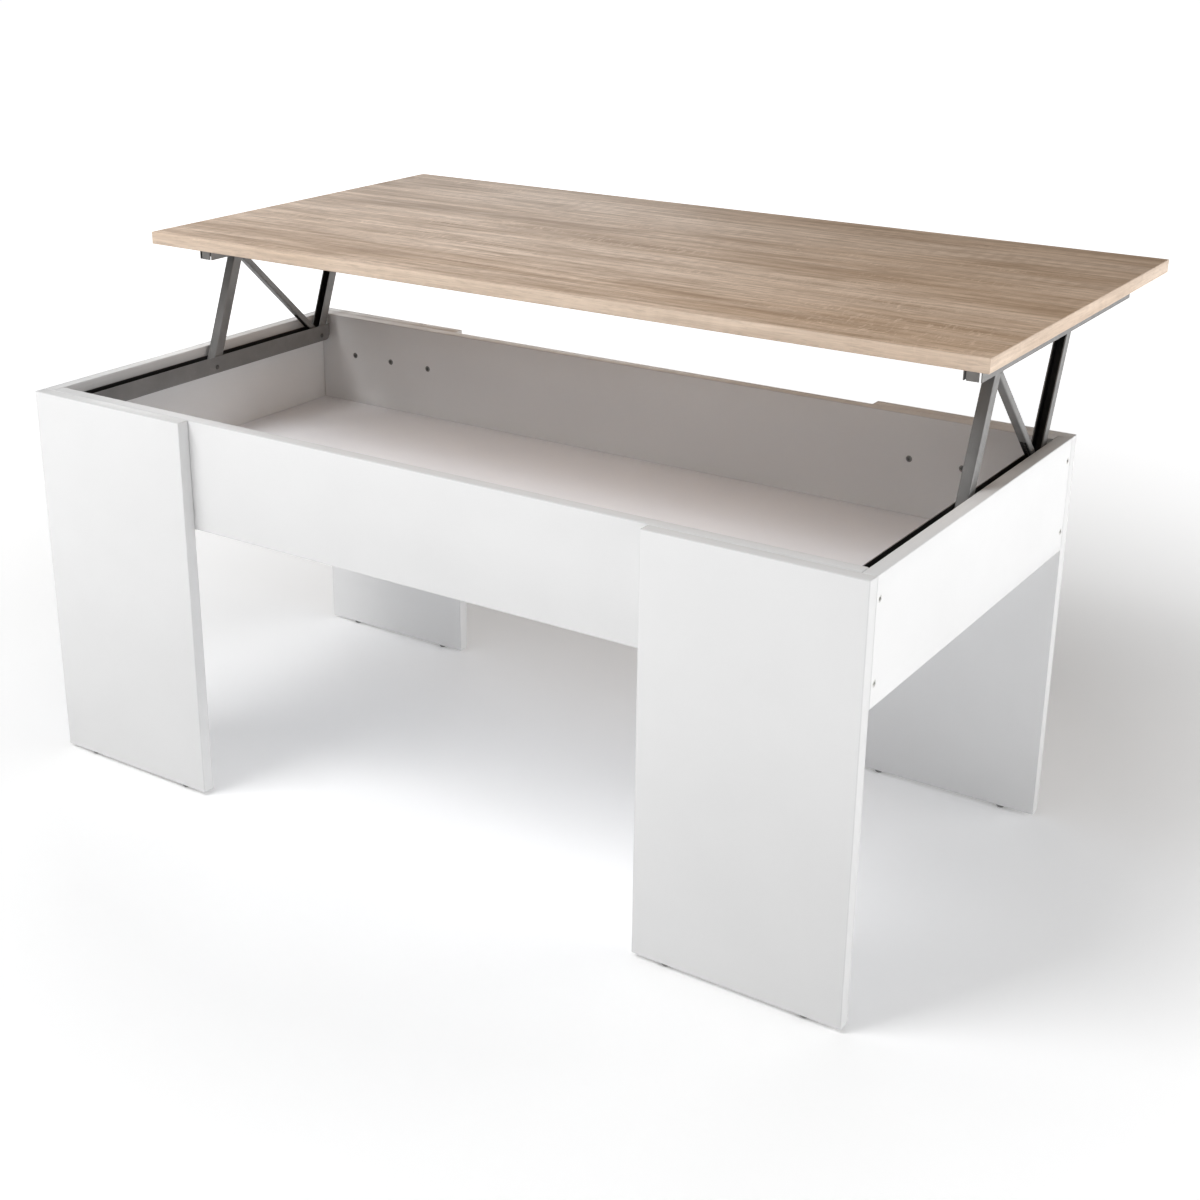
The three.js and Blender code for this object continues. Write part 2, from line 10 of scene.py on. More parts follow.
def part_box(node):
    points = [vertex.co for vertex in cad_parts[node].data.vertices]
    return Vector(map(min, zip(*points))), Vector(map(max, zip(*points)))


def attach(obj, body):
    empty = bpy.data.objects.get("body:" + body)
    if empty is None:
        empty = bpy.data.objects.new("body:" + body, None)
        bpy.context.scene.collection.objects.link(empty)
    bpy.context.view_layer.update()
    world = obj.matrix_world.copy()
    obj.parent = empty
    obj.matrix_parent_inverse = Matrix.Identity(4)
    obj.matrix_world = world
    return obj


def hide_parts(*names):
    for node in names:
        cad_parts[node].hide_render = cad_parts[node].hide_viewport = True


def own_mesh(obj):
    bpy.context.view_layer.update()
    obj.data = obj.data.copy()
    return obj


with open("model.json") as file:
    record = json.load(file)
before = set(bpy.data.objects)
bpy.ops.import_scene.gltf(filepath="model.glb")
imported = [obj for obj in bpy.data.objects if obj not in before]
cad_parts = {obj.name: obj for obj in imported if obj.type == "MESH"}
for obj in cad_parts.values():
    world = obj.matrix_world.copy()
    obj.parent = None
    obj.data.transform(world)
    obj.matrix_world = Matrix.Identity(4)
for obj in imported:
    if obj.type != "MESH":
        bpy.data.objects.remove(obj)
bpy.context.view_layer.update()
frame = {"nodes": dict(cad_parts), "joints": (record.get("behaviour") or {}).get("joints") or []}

MM = 0.001
JOINTS = {joint["name"]: joint for joint in frame["joints"]}
ENDS = {"left": -1, "right": 1}
FACES = {"front": -1, "rear": 1}

# ---- Sizes ---------------------------------------------------------------------------------

# Boards, screws and glides
ARRIS = 0.9 * MM  # rounding of a board's edges
FIT = 0.2 * MM  # space round a part held in a board
SCREW_HEAD_RADIUS = 3.5 * MM
SCREW_HEAD_FIT = 0.06 * MM
SCREW_SHANK_RADIUS = 2.3 * MM
SCREW_HOLE_RADIUS = 2.8 * MM
SCREW_TIP_RADIUS = 1.2 * MM
SOCKET_RADIUS = 2.3 * MM
SOCKET_DEPTH = 2.5 * MM
SIDE_SCREW_LENGTH = 45 * MM
LEG_SCREW_LENGTH = 25 * MM
GLIDE_RIM_HEIGHT = 3.8 * MM
GLIDE_NAIL_RADIUS = 1 * MM

# Rails
RAIL_SHEET = 1.0 * MM
UPPER_RAIL_NOSE_HEIGHT = 10 * MM
UPPER_RAIL_TAB_WIDTH = 12 * MM
LOWER_RAIL_CORNER = 8 * MM
DIMPLE_RADIUS = 3.6 * MM
DIMPLE_ABOVE_FOOT = 4 * MM
DIMPLE_Y = (-180 * MM, 24 * MM, 170 * MM)  # from the middle of the box

# Arms
ARM_SHEET = 1.2 * MM
ARM_WIDTH = 12 * MM
ARM_DEPTH = 12.5 * MM
ARM_WEB_TOP_CUT = 15 * MM

# Stays, with their rods and springs
STAY_SHEET = 1.0 * MM
STAY_WIDTH = 8.8 * MM
STAY_DEPTH = 7 * MM
STAY_CHANNEL_LENGTH = 176 * MM
STAY_WEB_FOOT_CUT = 52 * MM
STAY_ROD_RADIUS = 1.2 * MM
STAY_ROD_FOOT = 14 * MM
STAY_COLLAR_RADIUS = 2.2 * MM
STAY_COLLAR_LENGTH = 3 * MM
STAY_HEAD_WIDTH = 6 * MM
STAY_HEAD_DEPTH = 5 * MM
SPRING_RADIUS = 1.9 * MM
SPRING_WIRE = 0.35 * MM
SPRING_COILS = 30
SPRING_STEPS_PER_COIL = 14

# Pivot pins
PIN_RADIUS = 2 * MM
PIN_HEAD_RADIUS = 2.8 * MM
PIN_HEAD_LENGTH = 1.1 * MM
PIN_HEAD_CLEARANCE = 0.6 * MM
RUNNING_GAP = 0.35 * MM

# Shared by the metal parts
BEND = 0.5 * MM  # inner radius of a sheet metal bend
CHAMFER = 0.3 * MM
# A face lying further in than these shares of a sheet takes the painted shade: near-black that stands in
# for the shade inside a channel.
INNER_SHARE = 0.6  # of a sheet's thickness: what lies further in is on a wall's inner side
WEB_INNER_SHARE = 0.7  # the same for the web between the walls
FLOOR_INNER_SHARE = 0.8  # and for the floor of the lower rail
BEYOND = 20 * MM  # how far a cutting solid runs past what it cuts

# A board's materials: its faces, edge bands and rounded arrises, and the top's end bands
FACE_SLOT, BAND_SLOT, ARRIS_SLOT, END_BAND_SLOT = 0, 1, 2, 3

# ---- Materials -----------------------------------------------------------------------------


class Nodes:
    """A material's node tree, with short names for making and joining nodes."""

    def __init__(self, name):
        self.material = bpy.data.materials.new(name)
        self.material.use_nodes = True
        self.tree = self.material.node_tree
        self.shader = self.tree.nodes["Principled BSDF"]
        self.grain_along_y = False

    def add(self, kind, **settings):
        """A new node, its settings given by the names of its inputs or of its properties."""
        node = self.tree.nodes.new(kind)
        for key, value in settings.items():
            if key in node.inputs:
                node.inputs[key].default_value = value
            else:
                setattr(node, key, value)
        return node

    def link(self, output, target):
        self.tree.links.new(output, target)

    def coords(self, scale=(1, 1, 1), offset=(0, 0, 0)):
        """A place on the piece in metres, scaled and moved."""
        if self.grain_along_y:
            scale = (scale[1], scale[0], scale[2])
        place = self.add("ShaderNodeTexCoord")
        mapping = self.add("ShaderNodeMapping")
        mapping.inputs["Scale"].default_value = scale
        mapping.inputs["Location"].default_value = offset
        self.link(place.outputs["Object"], mapping.inputs["Vector"])
        return mapping.outputs["Vector"]

    def noise(
        self, scale, detail=4.0, roughness=0.5, stretch=(1, 1, 1), offset=(0, 0, 0), distortion=0.0
    ):
        """Noise in the piece's own place, 0 to 1. A large stretch is fine along that axis."""
        node = self.add("ShaderNodeTexNoise")
        node.inputs["Scale"].default_value = scale
        node.inputs["Detail"].default_value = detail
        node.inputs["Roughness"].default_value = roughness
        node.inputs["Distortion"].default_value = distortion
        self.link(self.coords(stretch, offset), node.inputs["Vector"])
        return node.outputs["Fac"]

    def ramp(self, value, stops):
        """A colour from a value, by stops of (position, colour)."""
        node = self.add("ShaderNodeValToRGB")
        elements = node.color_ramp.elements
        while len(elements) < len(stops):
            elements.new(0.5)
        for element, (position, colour) in zip(elements, stops):
            element.position = position
            element.color = (*colour, 1)
        self.link(value, node.inputs["Fac"])
        return node.outputs["Color"]

    def fade(self, value, low, high, to_low=0.0, to_high=1.0):
        """A value that runs from to_low to to_high as the given one runs from low to high."""
        node = self.add("ShaderNodeMapRange")
        node.inputs["From Min"].default_value = low
        node.inputs["From Max"].default_value = high
        node.inputs["To Min"].default_value = to_low
        node.inputs["To Max"].default_value = to_high
        self.link(value, node.inputs["Value"])
        return node.outputs["Result"]

    def mix(self, factor, first, second):
        """The first colour at factor 0 and the second at 1. Each is a colour or a socket."""
        node = self.add("ShaderNodeMix", data_type="RGBA")
        for socket, value in ((node.inputs[0], factor), (node.inputs[6], first), (node.inputs[7], second)):
            if isinstance(value, bpy.types.NodeSocket):
                self.link(value, socket)
            elif isinstance(value, (int, float)):
                socket.default_value = value
            else:
                socket.default_value = (*value, 1)
        return node.outputs[2]

    def bump(self, height, strength, distance, normal=None):
        """A normal raised by a height, on top of another normal if one is given."""
        node = self.add("ShaderNodeBump")
        node.inputs["Strength"].default_value = strength
        node.inputs["Distance"].default_value = distance
        self.link(height, node.inputs["Height"])
        if normal is not None:
            self.link(normal, node.inputs["Normal"])
        return node.outputs["Normal"]

    def finish(self, colour=None, roughness=None, normal=None, **constants):
        """Joins the shader to what is given, sets its constants and returns the material."""
        for socket, value in (("Base Color", colour), ("Roughness", roughness), ("Normal", normal)):
            if value is not None:
                self.link(value, self.shader.inputs[socket])
        for key, value in constants.items():
            self.shader.inputs[key.replace("_", " ")].default_value = value
        return self.material


def melamine(name, tone, warm=0.0, gloss=0.42):
    """White melamine film: faint clouding, a fine pearl texture and a satin sheen."""
    n = Nodes(name)
    base = (tone, tone * (1 - 0.25 * warm), tone * (1 - warm))
    dim = tuple(0.965 * c for c in base)
    cloud = n.noise(7, detail=3, offset=(3, 1, 5))
    speckle = n.noise(900, detail=2, roughness=0.7)
    colour = n.mix(n.fade(cloud, 0.3, 0.7), dim, base)
    colour = n.mix(n.fade(speckle, 0.35, 0.65, 0, 0.05), colour, tuple(0.8 * c for c in base))
    rough = n.fade(n.noise(60, detail=4), 0.3, 0.7, gloss - 0.05, gloss + 0.07)
    pearl = n.noise(1400, detail=2, roughness=0.6)
    wave = n.noise(22, detail=2)
    normal = n.bump(wave, 0.25, 0.0004)
    normal = n.bump(pearl, 0.35, 0.00003, normal)
    return n.finish(colour, rough, normal, IOR=1.48)


def oak(name, light, mid, dark, contrast=1.0, relief=1.0, grain_along_y=False):
    """Oak decor: soft boards, figure, streaks, pores, rays and saw marks, and painted shade darker to the
    right.
    """
    n = Nodes(name)
    n.grain_along_y = grain_along_y
    boards = n.noise(1, 2, 0.5, stretch=(2.2, 15, 15), offset=(2.3, 0.7, 0), distortion=0.25)
    figure = n.noise(1, 4, 0.55, stretch=(4.2, 42, 42), offset=(0.6, 3.1, 0), distortion=0.5)
    streaks = n.noise(1, detail=5, roughness=0.62, stretch=(7, 170, 170), distortion=0.3)
    fibres = n.noise(1, detail=5, roughness=0.7, stretch=(34, 900, 900))
    hollows = n.noise(1, detail=2, stretch=(5, 24, 24), offset=(7, 2, 1))
    pores = n.noise(1, detail=3, roughness=0.6, stretch=(48, 430, 430), offset=(4, 8, 3))
    rays = n.noise(1, detail=3, roughness=0.6, stretch=(190, 46, 46), offset=(1, 5, 2), distortion=1.2)
    saw = n.add("ShaderNodeTexWave", wave_type="BANDS", wave_profile="SIN")
    saw.bands_direction = "Y" if grain_along_y else "X"
    saw.inputs["Scale"].default_value = 1
    saw.inputs["Distortion"].default_value = 4.5
    saw.inputs["Detail"].default_value = 3
    saw.inputs["Detail Scale"].default_value = 1.6
    n.link(n.coords((17, 5, 5), (0.4, 0.2, 0)), saw.inputs["Vector"])
    base = n.ramp(boards, [(0.32, dark), (0.44, mid), (0.60, light)])
    base = n.mix(n.fade(figure, 0.34, 0.56, 0.50 * contrast, 0.0), base, dark)
    base = n.mix(n.fade(figure, 0.50, 0.70, 0.0, 0.45 * contrast), base, light)
    base = n.mix(n.fade(streaks, 0.34, 0.60, 0.40 * contrast, 0.0), base, tuple(0.66 * c for c in dark))
    base = n.mix(n.fade(fibres, 0.30, 0.55, 0.34 * contrast, 0.0), base, tuple(0.5 * c for c in dark))
    base = n.mix(n.fade(pores, 0.54, 0.66, 0.0, 0.34 * contrast), base, tuple(0.62 * c for c in dark))
    saw_marks = n.fade(saw.outputs["Fac"], 0.3, 0.9, 0.0, 0.15 * contrast)
    marks = n.mix(n.fade(hollows, 0.50, 0.64), (0, 0, 0), saw_marks)
    base = n.mix(marks, base, tuple(0.8 * c for c in dark))
    flecks = n.mix(n.fade(hollows, 0.52, 0.36), (0, 0, 0), n.fade(rays, 0.52, 0.70, 0.0, 0.42 * contrast))
    base = n.mix(flecks, base, light)
    # Painted shade: the decor darkens towards +X, standing in for the light falling off to the right.
    place = n.add("ShaderNodeSeparateXYZ")
    n.link(n.add("ShaderNodeTexCoord").outputs["Object"], place.inputs["Vector"])
    base = n.mix(n.fade(place.outputs["X"], -0.35, 0.5, 0.0, 0.16 * contrast), base, dark)
    rough = n.fade(streaks, 0.3, 0.7, 0.58, 0.44)
    normal = n.bump(fibres, 0.55 * relief, 0.00012)
    normal = n.bump(rays, 0.25 * relief, 0.00006, normal)
    return n.finish(base, rough, normal, IOR=1.45)


def painted(name, tone, rough=0.42, metallic=0.35):
    """Satin paint on sheet metal: a fine orange peel and faint rubbing marks along the part."""
    n = Nodes(name)
    base = tuple(tone * c for c in (1.0, 0.985, 0.965))
    cloud = n.noise(24, detail=4, offset=(1, 4, 2))
    marks = n.noise(1, detail=5, roughness=0.7, stretch=(900, 60, 60), distortion=0.4)
    colour = n.mix(n.fade(cloud, 0.3, 0.7), tuple(0.88 * c for c in base), tuple(1.08 * c for c in base))
    colour = n.mix(n.fade(marks, 0.60, 0.75, 0.0, 0.16), colour, tuple(min(1, 2.2 * c) for c in base))
    roughness = n.fade(n.noise(130, detail=4), 0.3, 0.7, rough - 0.07, rough + 0.09)
    normal = n.bump(n.noise(1500, detail=2), 0.4, 0.00005)
    return n.finish(colour, roughness, normal, Metallic=metallic)


def steel(name, tone, rough, brush=(700, 60, 700)):
    """Plated steel with turning marks, a mottled plating and a few dull spots."""
    n = Nodes(name)
    base = tuple(tone * c for c in (1.0, 0.995, 0.97))
    lines = n.noise(1, detail=4, roughness=0.7, stretch=brush)
    spots = n.noise(220, detail=3, roughness=0.6)
    colour = n.mix(n.fade(spots, 0.35, 0.7), base, tuple(0.72 * c for c in base))
    roughness = n.fade(lines, 0.3, 0.7, rough - 0.06, rough + 0.14)
    normal = n.bump(lines, 0.3, 0.00004)
    return n.finish(colour, roughness, normal, Metallic=1.0)


def moulded(name, tone, warm=0.0, rough=0.5):
    """Moulded plastic with a fine spark texture."""
    n = Nodes(name)
    base = (tone, tone * (1 - 0.3 * warm), tone * (1 - warm))
    colour = n.mix(n.fade(n.noise(300, detail=3), 0.3, 0.7), tuple(0.85 * c for c in base), base)
    roughness = n.fade(n.noise(800, detail=2), 0.3, 0.7, rough - 0.06, rough + 0.08)
    normal = n.bump(n.noise(2500, detail=1), 0.4, 0.00005)
    return n.finish(colour, roughness, normal, IOR=1.5)


WHITE_FACE = melamine("white_melamine", 0.86)
WHITE_BAND = melamine("white_edge_band", 0.80, gloss=0.36)
WHITE_ARRIS = melamine("white_edge_arris", 0.77, gloss=0.34)
# The floor board's own white film, made brighter than the other white film as painted light on the floor
# of the box.
FLOOR_FILM_PAINTED_LIGHT = melamine("floor_board_film_painted_light", 0.97, warm=-0.06, gloss=0.5)
OAK_FACE = oak("oak_decor", (0.90, 0.70, 0.54), (0.77, 0.565, 0.405), (0.43, 0.28, 0.17), 1.35)
OAK_BAND = oak("oak_edge_band", (0.83, 0.67, 0.53), (0.74, 0.57, 0.43), (0.57, 0.42, 0.31), 0.8, 0.6)
OAK_END_BAND = oak(
    "oak_end_band",
    (0.83, 0.67, 0.53),
    (0.74, 0.57, 0.43),
    (0.57, 0.42, 0.31),
    0.8,
    0.6,
    grain_along_y=True,
)
OAK_ARRIS = oak("oak_arris", (0.76, 0.60, 0.47), (0.68, 0.52, 0.39), (0.55, 0.40, 0.30), 0.5, 0.6)
GREY_PAINT = painted("grey_paint", 0.225)
# Painted shade: near-black for the inner faces of the channels, standing in for the shade inside them.
PAINTED_SHADE_BLACK = painted("painted_shade_inside", 0.018, rough=0.55, metallic=0.1)
DARK_STEEL = steel("dark_zinc_steel", 0.12, 0.36)
BRIGHT_ZINC = steel("bright_zinc_steel", 0.82, 0.5)
DULL_ZINC = steel("dull_zinc_steel", 0.34, 0.5)
SPRING_STEEL = steel("spring_steel", 0.22, 0.30, brush=(60, 60, 60))
GLIDE_PLASTIC = moulded("grey_glide_plastic", 0.26, warm=0.03)

BOARD_WHITE = [WHITE_FACE, WHITE_BAND, WHITE_ARRIS]
BOARD_OAK = [OAK_FACE, OAK_BAND, OAK_ARRIS, OAK_END_BAND]

# ---- Mesh helpers --------------------------------------------------------------------------


def turn_outwards(bm):
    """Turns a closed mesh's faces outwards."""
    bmesh.ops.recalc_face_normals(bm, faces=bm.faces)
    if bm.calc_volume(signed=True) < 0:
        bmesh.ops.reverse_faces(bm, faces=bm.faces)


def make_object(name, bm, materials, smooth_angle=35):
    """An object in the scene from a mesh, smooth but for edges sharper than an angle."""
    turn_outwards(bm)
    mesh = bpy.data.meshes.new(name)
    bm.to_mesh(mesh)
    bm.free()
    for material in materials:
        mesh.materials.append(material)
    for polygon in mesh.polygons:
        polygon.use_smooth = True
    mesh.set_sharp_from_angle(angle=math.radians(smooth_angle))
    piece = bpy.data.objects.new(name, mesh)
    bpy.context.scene.collection.objects.link(piece)
    return piece


def add_piece(piece, body, slot, *nodes):
    """Rides a piece on its body, in place of its CAD nodes. The slot is not used."""
    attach(piece, body)
    if nodes:
        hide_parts(*nodes)
    return piece


def box_mesh(lo, hi):
    """A box between two corners."""
    bm = bmesh.new()
    bmesh.ops.create_cube(bm, size=1)
    lo, hi = Vector(lo), Vector(hi)
    for vert in bm.verts:
        vert.co = Vector(lo[i] + (vert.co[i] + 0.5) * (hi[i] - lo[i]) for i in range(3))
    return bm


def prism_mesh(outline, depth_axis, d0, d1):
    """An outline in two axes, extruded along the third. The outline is in the order of X, Y, Z."""
    others = [i for i in range(3) if i != depth_axis]
    bm = bmesh.new()

    def vert(point, depth):
        co = [0, 0, 0]
        co[others[0]], co[others[1]], co[depth_axis] = point[0], point[1], depth
        return bm.verts.new(co)

    low = [vert(p, d0) for p in outline]
    high = [vert(p, d1) for p in outline]
    bm.faces.new(low)
    bm.faces.new(high)
    count = len(outline)
    for i in range(count):
        j = (i + 1) % count
        bm.faces.new((low[i], low[j], high[j], high[i]))
    bmesh.ops.recalc_face_normals(bm, faces=bm.faces)
    return bm


def arc(cx, cy, radius, start, end, steps=6):
    """Points round a centre, from a start to an end angle in degrees."""
    angles = [math.radians(start + (end - start) * i / steps) for i in range(steps + 1)]
    return [(cx + radius * math.cos(a), cy + radius * math.sin(a)) for a in angles]


def turned_mesh(profile, segments=32):
    """A profile of (radius, height) points turned about Z. It starts and ends on the axis."""
    bm = bmesh.new()
    rings = []
    for radius, height in profile:
        if radius < 1e-9:
            rings.append([bm.verts.new((0, 0, height))])
            continue
        angles = [2 * math.pi * i / segments for i in range(segments)]
        rings.append([bm.verts.new((radius * math.cos(a), radius * math.sin(a), height)) for a in angles])
    for one, two in zip(rings, rings[1:]):
        for i in range(segments):
            j = (i + 1) % segments
            corners = [one[i % len(one)], one[j % len(one)], two[j % len(two)], two[i % len(two)]]
            bm.faces.new(list(dict.fromkeys(corners)))
    bmesh.ops.recalc_face_normals(bm, faces=bm.faces)
    return bm


def swept_mesh(points, radius, sides=8):
    """A round wire along a line of points, closed at both ends."""
    bm = bmesh.new()
    rings = []
    up = Vector((1, 0, 0))
    for i, point in enumerate(points):
        ahead = points[min(i + 1, len(points) - 1)] - points[max(i - 1, 0)]
        tangent = ahead.normalized()
        side = tangent.cross(up).normalized()
        up = side.cross(tangent).normalized()
        ring = []
        for k in range(sides):
            angle = 2 * math.pi * k / sides
            ring.append(bm.verts.new(point + radius * (math.cos(angle) * side + math.sin(angle) * up)))
        rings.append(ring)
    for one, two in zip(rings, rings[1:]):
        for k in range(sides):
            j = (k + 1) % sides
            bm.faces.new((one[k], one[j], two[j], two[k]))
    bm.faces.new(rings[0])
    bm.faces.new(rings[-1])
    bmesh.ops.recalc_face_normals(bm, faces=bm.faces)
    return bm


def combined(bm, others, operation="DIFFERENCE", materials=1):
    """bm with the others cut from it, joined to it, or what they share. Solids throughout."""
    target = make_object("work", bm, [WHITE_FACE] * materials)
    for other in others:
        tool = make_object("tool", other, [WHITE_FACE] * materials)
        modifier = target.modifiers.new("combine", "BOOLEAN")
        modifier.operation = operation
        modifier.solver = "EXACT"
        modifier.object = tool
        bpy.context.view_layer.update()
        depsgraph = bpy.context.evaluated_depsgraph_get()
        mesh = bpy.data.meshes.new_from_object(target.evaluated_get(depsgraph))
        target.modifiers.clear()
        target.data = mesh
        bpy.data.objects.remove(tool)
    result = bmesh.new()
    result.from_mesh(target.data)
    bpy.data.objects.remove(target)
    return result


def cylinder_x(radius, x0, x1, y, z, segments=32):
    """A cylinder along X."""
    bm = bmesh.new()
    bmesh.ops.create_cone(
        bm, cap_ends=True, segments=segments, radius1=radius, radius2=radius, depth=x1 - x0
    )
    turn = Matrix.Rotation(math.pi / 2, 4, "Y")
    bm.transform(Matrix.Translation(((x0 + x1) / 2, y, z)) @ turn)
    return bm


def mirrored(bm):
    """A copy of a mesh for the other end of the table."""
    other = bm.copy()
    other.transform(Matrix.Scale(-1, 4, (1, 0, 0)))
    bmesh.ops.reverse_faces(other, faces=other.faces)
    return other


def at_ends(name, bm, body, slot, materials, node=None, smooth_angle=35):
    """The right end's piece as made, and its mirror image at the left end, by end."""
    pieces = {}
    for end, side in ENDS.items():
        mesh = bm.copy() if side > 0 else mirrored(bm)
        piece = make_object(f"{name}_{end}_look", mesh, materials, smooth_angle)
        nodes = [node.format(end=end)] if node else []
        pieces[end] = add_piece(piece, body.format(end=end), slot, *nodes)
    bm.free()
    return pieces


# ---- Boards --------------------------------------------------------------------------------


def board_mesh(lo, hi):
    """A board with rounded arrises, its faces, edge bands and arrises in their own materials."""
    lo, hi = Vector(lo), Vector(hi)
    size = hi - lo
    thin = min(range(3), key=lambda i: size[i])
    bm = box_mesh(lo, hi)
    made = bmesh.ops.bevel(
        bm,
        geom=list(bm.edges) + list(bm.verts),
        offset=ARRIS,
        segments=3,
        profile=0.5,
        affect="EDGES",
    )
    arrises = set(made["faces"])
    bmesh.ops.recalc_face_normals(bm, faces=bm.faces)
    for face in bm.faces:
        if face in arrises and max(abs(c) for c in face.normal) < 0.999:
            face.material_index = ARRIS_SLOT
        else:
            face.material_index = FACE_SLOT if abs(face.normal[thin]) > 0.9 else BAND_SLOT
    return bm


def placed(bm, matrix):
    """A mesh moved to its place."""
    bm.transform(matrix)
    return bm


def screw_frame(node, inward):
    """Where a screw's head faces: the middle of its head's face, with Z running inwards."""
    lo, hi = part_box(node)
    middle = (lo + hi) / 2
    axis = Vector(inward)
    reach = abs((hi - lo).dot(axis)) / 2
    return Matrix.Translation(middle - axis * reach) @ axis.to_track_quat("Z", "Y").to_matrix().to_4x4()


def screw_hole(matrix, head, depth):
    """The cut for a screw: its mouth, countersink and bore."""
    mouth = head + SCREW_HEAD_FIT
    profile = [(0, -2 * MM), (mouth, -2 * MM), (mouth, 1.2 * MM), (SCREW_HOLE_RADIUS, 3.4 * MM)]
    profile += [(SCREW_HOLE_RADIUS, depth), (0, depth)]
    return placed(turned_mesh(profile, 24), matrix)


def screw_mesh(head, depth):
    """A countersunk screw with a hexagon socket. Its face is at 0 and its tip at depth."""
    shank = SCREW_SHANK_RADIUS
    profile = [(0, 0), (head - 0.4 * MM, 0), (head, CHAMFER), (head, 1 * MM), (shank, 3 * MM)]
    profile += [(shank, depth - 3 * MM), (SCREW_TIP_RADIUS, depth - 0.4 * MM), (0, depth)]
    socket = bmesh.new()
    bmesh.ops.create_cone(
        socket,
        cap_ends=True,
        segments=6,
        radius1=SOCKET_RADIUS - 0.4 * MM,
        radius2=SOCKET_RADIUS,
        depth=2 * SOCKET_DEPTH,
    )
    return combined(turned_mesh(profile), [socket])


screws = []  # each one's node, its place, its length and the panel its head is in
for end, side in ENDS.items():
    for face in FACES:
        for level in ("upper", "lower"):
            node = f"side_screw_{face}_{end}_{level}"
            screws.append((node, screw_frame(node, (-side, 0, 0)), SIDE_SCREW_LENGTH, f"side_panel_{end}"))
    for i in (1, 2, 3):
        node = f"leg_screw_rear_{end}_{i}"
        screws.append((node, screw_frame(node, (0, 1, 0)), LEG_SCREW_LENGTH, "apron_rear"))

side_screw = screw_mesh(SCREW_HEAD_RADIUS, SIDE_SCREW_LENGTH)
leg_screw = screw_mesh(SCREW_HEAD_RADIUS, LEG_SCREW_LENGTH)
for node, matrix, _, _ in screws:
    in_side = node.startswith("side_screw")
    shape = (side_screw if in_side else leg_screw).copy()
    piece = make_object(f"{node}_look", placed(shape, matrix), [BRIGHT_ZINC if in_side else DULL_ZINC])
    add_piece(piece, "base", "zinc_screw", node)

# The front legs are screwed on from inside the front apron, at the same places.
front_screws = []
inner_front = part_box("apron_front")[1].y
for node, matrix, _, _ in screws:
    if not node.startswith("leg_screw"):
        continue
    place = matrix.to_translation()
    place.y = inner_front
    forwards = Vector((0, -1, 0)).to_track_quat("Z", "Y").to_matrix().to_4x4()
    front = Matrix.Translation(place) @ forwards
    front_screws.append(front)
    name = node.replace("rear", "front")
    piece = make_object(f"{name}_look", placed(leg_screw.copy(), front), [DULL_ZINC])
    add_piece(piece, "base", "zinc_screw")
side_screw.free()
leg_screw.free()

floor_lo, floor_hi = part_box("floor_panel")
margin = Vector((FIT, FIT, FIT))
groove = (floor_lo - margin, floor_hi + margin)

holes = {f"side_panel_{end}": [] for end in ENDS}
holes.update({f"apron_{face}": [] for face in FACES})
for node, matrix, length, panel in screws:
    holes[panel].append((matrix, length))
    if node.startswith("side_screw"):
        holes[f"apron_{node.split('_')[2]}"].append((matrix, length))
for matrix in front_screws:
    holes["apron_front"].append((matrix, LEG_SCREW_LENGTH))

for node, cuts in holes.items():
    tools = [screw_hole(matrix, SCREW_HEAD_RADIUS, length + FIT) for matrix, length in cuts]
    tools.append(box_mesh(*groove))
    shape = combined(board_mesh(*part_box(node)), tools, materials=3)
    add_piece(make_object(f"{node}_look", shape, BOARD_WHITE), "base", "white_panel", node)

for face in FACES:
    for end in ENDS:
        node = f"leg_{face}_{end}"
        shape = board_mesh(*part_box(node))
        add_piece(make_object(f"{node}_look", shape, BOARD_WHITE), "base", "white_panel", node)

top_mesh = board_mesh(*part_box("table_top"))
for face in top_mesh.faces:
    if abs(face.normal.x) > 0.9:
        face.material_index = END_BAND_SLOT
top_board = make_object("table_top_look", top_mesh, BOARD_OAK)
add_piece(top_board, "tabletop", "oak_top", "table_top")

# The floor board takes the brightened film, with its painted light.
floor_panel = frame["nodes"]["floor_panel"]
floor_panel.data.materials.clear()
floor_panel.data.materials.append(FLOOR_FILM_PAINTED_LIGHT)

# ---- Glides --------------------------------------------------------------------------------

for face in FACES:
    for end in ENDS:
        for i in (1, 2):
            node = f"glide_{face}_{end}_{i}"
            lo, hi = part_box(node)
            middle = (lo + hi) / 2
            radius = (hi.x - lo.x) / 2
            tall = hi.z - lo.z
            rim = GLIDE_RIM_HEIGHT
            profile = [(0, 0), (radius - 2.2 * MM, 0), (radius - 1.4 * MM, 0.2 * MM)]
            profile += [(radius - CHAMFER, 1.5 * MM), (radius, 2.4 * MM), (radius, rim - CHAMFER)]
            profile += [(radius - CHAMFER, rim), (GLIDE_NAIL_RADIUS, rim)]
            profile += [(GLIDE_NAIL_RADIUS, tall - 2 * MM), (0, tall)]
            shape = placed(turned_mesh(profile), Matrix.Translation((middle.x, middle.y, lo.z)))
            add_piece(make_object(f"{node}_look", shape, [GLIDE_PLASTIC]), "base", "glide", node)

# ---- Channels ------------------------------------------------------------------------------


